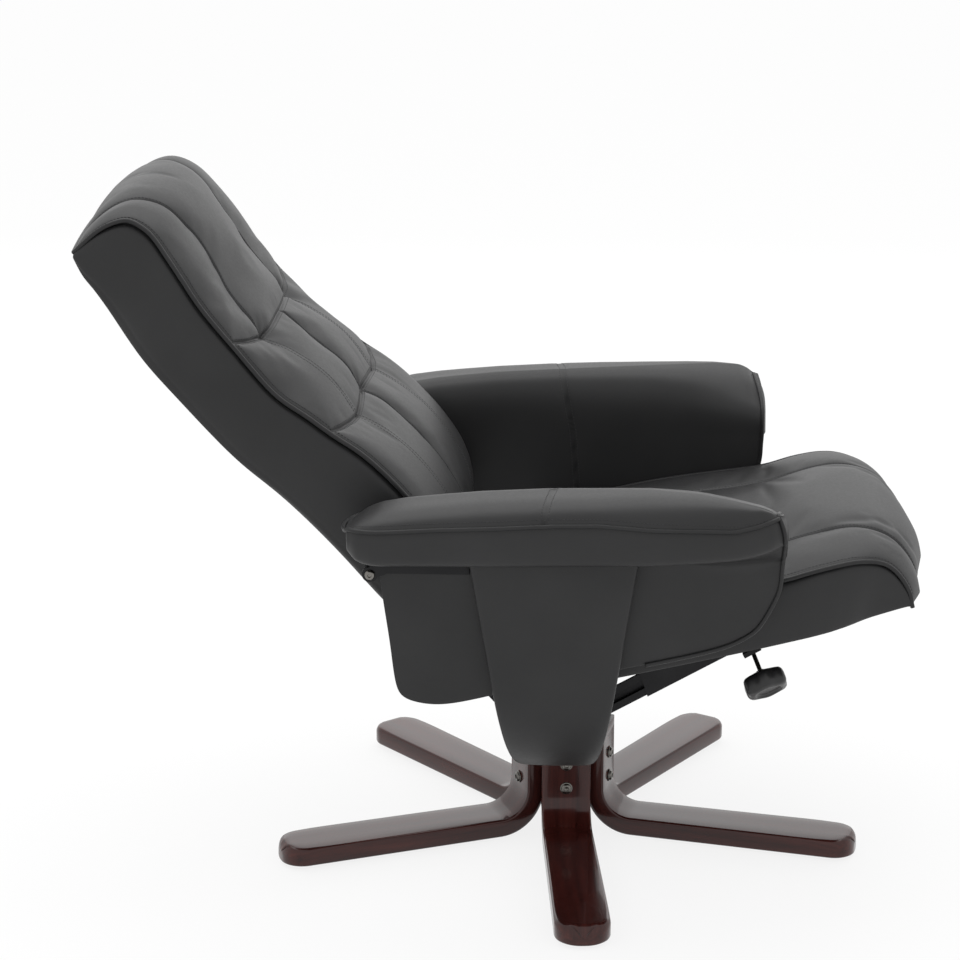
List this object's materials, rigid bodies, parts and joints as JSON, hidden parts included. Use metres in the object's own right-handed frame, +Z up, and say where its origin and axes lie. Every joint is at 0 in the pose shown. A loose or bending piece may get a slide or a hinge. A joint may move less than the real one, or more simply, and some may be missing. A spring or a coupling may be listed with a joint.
{
  "type": "swivel recliner chair",
  "caption": "Reclining swivel armchair: padded back and seat slide and tilt together between padded arms on bent carriers, on a wooden star base.",
  "frame": {"origin": "on the floor, under the middle of the reclined chair's bounding box", "axes": "+X to the front of the chair, +Y to the sitter's left, +Z up"},
  "size_m": [1.076, 0.7784, 0.9118],
  "materials": {
    "black_leather": "satin",
    "mahogany": "gloss",
    "black_steel": "satin",
    "bolt_steel": "satin",
    "knob_plastic": "satin",
    "black_nylon": "matte",
    "frame_board": "matte"
  },
  "bodies": {
    "base": {"hub_block": "mahogany", "swivel_bearing": "black_nylon", "leg_1": "mahogany", "leg_2": "mahogany", "leg_3": "mahogany", "leg_4": "mahogany", "leg_5": "mahogany", "leg_1_bolt_lower": "bolt_steel", "leg_1_bolt_upper": "bolt_steel", "leg_2_bolt_lower": "bolt_steel", "leg_2_bolt_upper": "bolt_steel", "leg_3_bolt_lower": "bolt_steel", "leg_3_bolt_upper": "bolt_steel", "leg_4_bolt_lower": "bolt_steel", "leg_4_bolt_upper": "bolt_steel", "leg_5_bolt_lower": "bolt_steel", "leg_5_bolt_upper": "bolt_steel", "leg_1_glide": "black_nylon", "leg_2_glide": "black_nylon", "leg_3_glide": "black_nylon", "leg_4_glide": "black_nylon", "leg_5_glide": "black_nylon"},
    "frame": {"carrier_far": "black_leather", "carrier_near": "black_leather", "arm_panel_far": "black_leather", "arm_panel_near": "black_leather", "arm_pad_far": "black_leather", "arm_pad_near": "black_leather", "pivot_bar_far": "black_steel", "pivot_bar_near": "black_steel", "pivot_bolt_far": "bolt_steel", "pivot_bolt_near": "bolt_steel", "pivot_spacer_far": "black_steel", "pivot_spacer_near": "black_steel", "slide_rail_far": "black_steel", "slide_rail_near": "black_steel", "swivel_deck": "black_steel", "rail_tie": "black_steel", "clamp_bracket": "black_steel", "deck_bolt_far_front": "bolt_steel", "deck_bolt_far_rear": "bolt_steel", "deck_bolt_near_front": "bolt_steel", "deck_bolt_near_rear": "bolt_steel"},
    "back": {"back_cushion": "black_leather", "back_board": "frame_board", "back_lever_far": "black_steel", "back_lever_near": "black_steel"},
    "seat": {"seat_cushion": "black_leather", "seat_pan": "frame_board", "seat_side_board_far": "black_leather", "seat_side_board_near": "black_leather", "seat_rear_board": "frame_board", "seat_front_board": "frame_board", "seat_runner_far": "black_steel", "seat_runner_near": "black_steel", "link_ear_far": "black_steel", "link_ear_near": "black_steel", "link_rod": "black_steel"},
    "knob": {"clamp_knob": "knob_plastic"}
  },
  "joints": [
    {"name": "swivel", "type": "hinge", "parent": "base", "child": "frame", "pos_m": [0.06751, 0.01518, 0.1573], "axis": [0, 0, 1], "continuous": true},
    {"name": "recline", "type": "hinge", "parent": "frame", "child": "back", "pos_m": [-0.16949, 0.01518, 0.46], "axis": [0, 1, 0], "range_deg": [0, 22.4]},
    {"name": "seat_slide", "type": "slide", "parent": "frame", "child": "seat", "axis": [-0.8686, 0, -0.4955], "range_m": [0, 0.0968]},
    {"name": "clamp_turn", "type": "hinge", "parent": "frame", "child": "knob", "pos_m": [0.31099, -0.17594, 0.32664], "axis": [0.3514, -0.5824, -0.733], "range_deg": [0, 270]}
  ],
  "couplings": [
    {"joint": "seat_slide", "follows": "recline", "m_per_rad": 0.24734}
  ]
}
